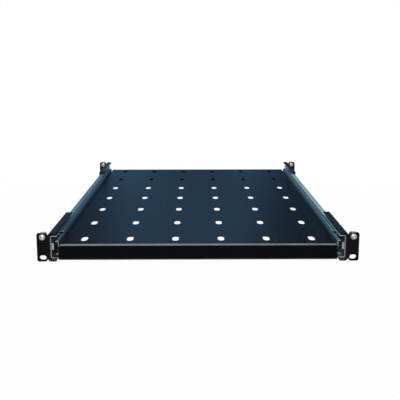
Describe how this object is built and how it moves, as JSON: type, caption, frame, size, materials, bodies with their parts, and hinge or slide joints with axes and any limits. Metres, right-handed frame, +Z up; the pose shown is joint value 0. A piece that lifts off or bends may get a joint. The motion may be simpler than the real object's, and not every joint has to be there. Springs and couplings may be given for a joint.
{
  "type": "sliding rack shelf",
  "caption": "Pull-out vented steel shelf for a four-post equipment rack, on telescopic ball rails held by folded ear brackets front and rear.",
  "frame": {"origin": "middle of the front ears' four slots, on the face of the ears that lies against the front posts", "axes": "+X to the right seen from the front, +Y into the rack, +Z up"},
  "size_m": [0.4826, 0.502, 0.044],
  "materials": {
    "black_powder_coat": "fine textured black powder coat with a blue cast",
    "zinc_rail": "blue passivated zinc on rolled strip",
    "ball_steel": "polished hardened steel",
    "zinc_fastener": "yellowish zinc plating",
    "black_rubber": "matt moulded rubber"
  },
  "bodies": {
    "root": {"left_front_bracket": "black_powder_coat", "left_rear_bracket": "black_powder_coat", "left_outer_rail": "zinc_rail", "left_rail_bumper": "black_rubber", "left_bracket_screws": "zinc_fastener", "left_bracket_nuts": "zinc_fastener", "right_front_bracket": "black_powder_coat", "right_rear_bracket": "black_powder_coat", "right_outer_rail": "zinc_rail", "right_rail_bumper": "black_rubber", "right_bracket_screws": "zinc_fastener", "right_bracket_nuts": "zinc_fastener"},
    "shelf": {"shelf_tray": "black_powder_coat", "left_inner_rail": "zinc_rail", "left_tray_screws": "zinc_fastener", "right_inner_rail": "zinc_rail", "right_tray_screws": "zinc_fastener"},
    "left_middle": {"left_middle_rail": "zinc_rail"},
    "left_outer_rollers": {"left_outer_cage": "zinc_rail", "left_outer_balls": "ball_steel"},
    "left_inner_rollers": {"left_inner_cage": "zinc_rail", "left_inner_balls": "ball_steel"},
    "right_middle": {"right_middle_rail": "zinc_rail"},
    "right_outer_rollers": {"right_outer_cage": "zinc_rail", "right_outer_balls": "ball_steel"},
    "right_inner_rollers": {"right_inner_cage": "zinc_rail", "right_inner_balls": "ball_steel"}
  },
  "joints": [
    {"name": "shelf_slide", "type": "slide", "parent": "root", "child": "shelf", "axis": [0, -1, 0], "range_m": [0, 0.46]},
    {"name": "left_middle_slide", "type": "slide", "parent": "root", "child": "left_middle", "axis": [0, -1, 0], "range_m": [0, 0.23]},
    {"name": "left_outer_rollers_slide", "type": "slide", "parent": "root", "child": "left_outer_rollers", "axis": [0, -1, 0], "range_m": [0, 0.115]},
    {"name": "left_inner_rollers_slide", "type": "slide", "parent": "root", "child": "left_inner_rollers", "axis": [0, -1, 0], "range_m": [0, 0.345]},
    {"name": "right_middle_slide", "type": "slide", "parent": "root", "child": "right_middle", "axis": [0, -1, 0], "range_m": [0, 0.23]},
    {"name": "right_outer_rollers_slide", "type": "slide", "parent": "root", "child": "right_outer_rollers", "axis": [0, -1, 0], "range_m": [0, 0.115]},
    {"name": "right_inner_rollers_slide", "type": "slide", "parent": "root", "child": "right_inner_rollers", "axis": [0, -1, 0], "range_m": [0, 0.345]}
  ],
  "couplings": [
    {"joint": "left_middle_slide", "follows": "shelf_slide", "ratio": 0.5},
    {"joint": "left_outer_rollers_slide", "follows": "shelf_slide", "ratio": 0.25},
    {"joint": "left_inner_rollers_slide", "follows": "shelf_slide", "ratio": 0.75},
    {"joint": "right_middle_slide", "follows": "shelf_slide", "ratio": 0.5},
    {"joint": "right_outer_rollers_slide", "follows": "shelf_slide", "ratio": 0.25},
    {"joint": "right_inner_rollers_slide", "follows": "shelf_slide", "ratio": 0.75}
  ]
}
